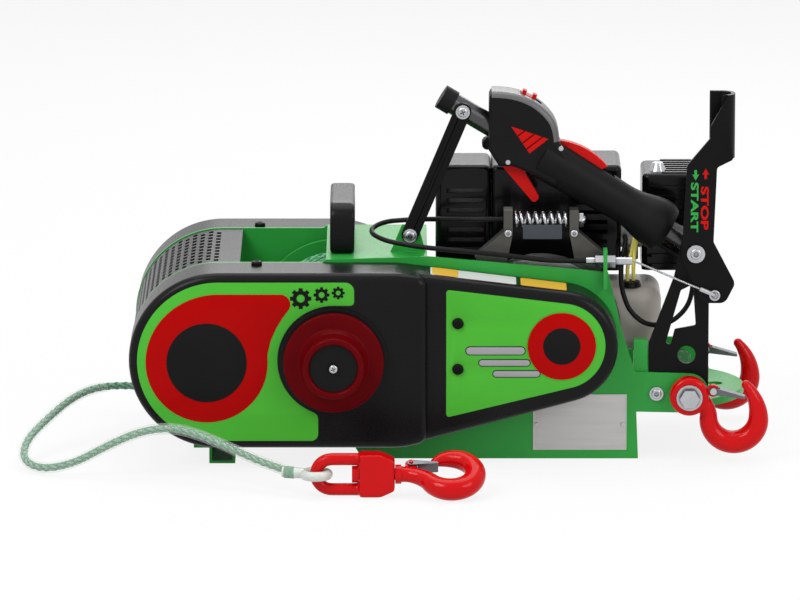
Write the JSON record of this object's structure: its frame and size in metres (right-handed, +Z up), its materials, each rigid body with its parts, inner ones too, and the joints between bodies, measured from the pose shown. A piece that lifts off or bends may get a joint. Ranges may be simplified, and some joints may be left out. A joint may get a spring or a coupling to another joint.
{
  "type": "forestry winch",
  "caption": "Portable petrol rope winch with a green steel frame, black gear cover, rope drum, throttle grip, brake lever, anchor hooks and a swivel hook on the rope.",
  "frame": {"origin": "middle of the winch's footprint on the floor, measured without the free rope", "axes": "+X from the rope outlet to the anchor hooks, +Y from the gear cover to the recoil starter, +Z up"},
  "size_m": [0.7503, 0.4687, 0.3716],
  "materials": {
    "frame_green": "satin",
    "guard_black": "satin",
    "cover_black": "satin",
    "shroud_black": "gloss",
    "knob_red": "satin",
    "control_red": "gloss",
    "hook_red": "gloss",
    "zinc": "satin",
    "gear_steel": "satin",
    "alloy": "satin",
    "muffler_steel": "matte",
    "tank_cream": "satin",
    "grommet_rubber": "matte",
    "fuel_yellow": "gloss",
    "rope_green": "woven"
  },
  "bodies": {
    "frame": {"near_side_plate": "frame_green", "far_side_plate": "frame_green", "top_deck": "frame_green", "lug_plate": "frame_green", "front_foot": "frame_green", "tie_bar": "frame_green", "engine_tray": "frame_green", "rope_guard": "guard_black", "strut": "guard_black", "lever_bracket": "guard_black", "near_cover": "cover_black", "far_cover": "cover_black", "cover_screws": "cover_black", "carry_handle": "cover_black", "tube_cap": "cover_black", "near_grip_half": "cover_black", "far_grip_half": "cover_black", "air_filter_box": "cover_black", "muffler_guard": "cover_black", "recoil_starter": "cover_black", "cylinder_shroud": "shroud_black", "swivel_link": "hook_red", "zinc_hardware": "zinc", "brake_spring": "zinc", "brake_wire": "zinc", "gear_bearings": "zinc", "left_brake_arm": "gear_steel", "engine_block": "alloy", "carburettor": "alloy", "handle_tube": "alloy", "muffler": "muffler_steel", "fuel_tank": "tank_cream", "tank_grommet": "grommet_rubber", "control_cables": "grommet_rubber", "fuel_lines": "fuel_yellow", "rope_lead": "rope_green", "rope_free": "rope_green", "rope_eye": "rope_green"},
    "rope_drum": {"drum": "alloy", "drum_shaft": "zinc", "rope_winding": "rope_green", "drum_gear": "gear_steel"},
    "release": {"dog_clutch": "zinc", "release_knob": "knob_red", "knob_insert": "cover_black"},
    "cluster_b": {"cluster_gear_b": "gear_steel"},
    "cluster_a": {"cluster_gear_a": "gear_steel"},
    "input": {"input_shaft": "gear_steel"},
    "lever": {"brake_lever": "guard_black"},
    "brake_arm": {"right_brake_arm": "gear_steel"},
    "trigger": {"throttle_trigger": "control_red"},
    "lockout": {"lockout_lever": "control_red"},
    "stop": {"stop_switch": "control_red"},
    "near_anchor": {"near_hook": "hook_red"},
    "far_anchor": {"far_hook": "hook_red"},
    "near_gate": {"near_latch": "zinc"},
    "far_gate": {"far_latch": "zinc"},
    "rope_hook": {"swivel_hook": "hook_red"},
    "rope_gate": {"swivel_latch": "zinc"},
    "pull_grip": {"starter_grip": "cover_black"}
  },
  "joints": [
    {"name": "drum_spin", "type": "hinge", "parent": "frame", "child": "rope_drum", "pos_m": [-0.118, 0, 0.113], "axis": [0, 1, 0], "continuous": true},
    {"name": "cluster_b_spin", "type": "hinge", "parent": "frame", "child": "cluster_b", "pos_m": [-0.02316, -0.1, 0.11849], "axis": [0, 1, 0], "continuous": true},
    {"name": "cluster_a_spin", "type": "hinge", "parent": "frame", "child": "cluster_a", "pos_m": [0.03674, -0.1, 0.12196], "axis": [0, 1, 0], "continuous": true},
    {"name": "input_spin", "type": "hinge", "parent": "frame", "child": "input", "pos_m": [0.08915, -0.1, 0.125], "axis": [0, 1, 0], "continuous": true},
    {"name": "knob_pull", "type": "slide", "parent": "rope_drum", "child": "release", "axis": [0, -1, 0], "range_m": [0, 0.01]},
    {"name": "lever_pull", "type": "hinge", "parent": "frame", "child": "lever", "pos_m": [0.2434, -0.089, 0.211], "axis": [0, 1, 0], "range_deg": [0, 35], "deforming": ["brake_wire"]},
    {"name": "brake_arm_open", "type": "hinge", "parent": "frame", "child": "brake_arm", "pos_m": [0.08915, -0.064, 0.04], "axis": [0, 1, 0], "range_deg": [0, 1.2], "deforming": ["brake_spring"]},
    {"name": "trigger_squeeze", "type": "hinge", "parent": "frame", "child": "trigger", "pos_m": [0.056, -0.04, 0.297], "axis": [0, -1, 0], "range_deg": [0, 16], "stiffness_Nm_per_rad": 0.15, "springref_deg": -11.46},
    {"name": "lockout_press", "type": "hinge", "parent": "frame", "child": "lockout", "pos_m": [0.109, -0.04, 0.311], "axis": [0, 1, 0], "range_deg": [0, 6], "stiffness_Nm_per_rad": 0.15, "springref_deg": -11.46},
    {"name": "stop_slide", "type": "slide", "parent": "frame", "child": "stop", "axis": [0.9135, 0, -0.4067], "range_m": [0, 0.006]},
    {"name": "near_hook_swing", "type": "hinge", "parent": "frame", "child": "near_anchor", "pos_m": [0.2375, -0.099, 0.067], "axis": [0, 1, 0], "range_deg": [-60, 45]},
    {"name": "far_hook_swing", "type": "hinge", "parent": "frame", "child": "far_anchor", "pos_m": [0.2375, 0.099, 0.067], "axis": [0, 1, 0], "range_deg": [-60, 45]},
    {"name": "near_latch_open", "type": "hinge", "parent": "near_anchor", "child": "near_gate", "pos_m": [0.2615, -0.099, 0.0725], "axis": [0, 1, 0], "range_deg": [0, 40], "stiffness_Nm_per_rad": 0.05, "springref_deg": -11.46},
    {"name": "far_latch_open", "type": "hinge", "parent": "far_anchor", "child": "far_gate", "pos_m": [0.2615, 0.099, 0.0725], "axis": [0, 1, 0], "range_deg": [0, 40], "stiffness_Nm_per_rad": 0.05, "springref_deg": -11.46},
    {"name": "swivel_spin", "type": "hinge", "parent": "frame", "child": "rope_hook", "pos_m": [-0.054, -0.25, 0.0218], "axis": [1, 0, 0], "continuous": true},
    {"name": "swivel_latch_open", "type": "hinge", "parent": "rope_hook", "child": "rope_gate", "pos_m": [-0.041, -0.23917, 0.02697], "axis": [0, 0.4305, -0.9026], "range_deg": [0, 20], "stiffness_Nm_per_rad": 0.05, "springref_deg": -11.46},
    {"name": "starter_pull", "type": "slide", "parent": "frame", "child": "pull_grip", "axis": [0.766, 0, 0.6428], "range_m": [0, 0.25], "stiffness_N_per_m": 8, "springref_m": -0.1}
  ],
  "couplings": [
    {"joint": "cluster_b_spin", "follows": "drum_spin", "ratio": -5.3333},
    {"joint": "cluster_a_spin", "follows": "drum_spin", "ratio": 16},
    {"joint": "input_spin", "follows": "drum_spin", "ratio": -40},
    {"joint": "brake_arm_open", "follows": "lever_pull", "ratio": 0.034286}
  ]
}
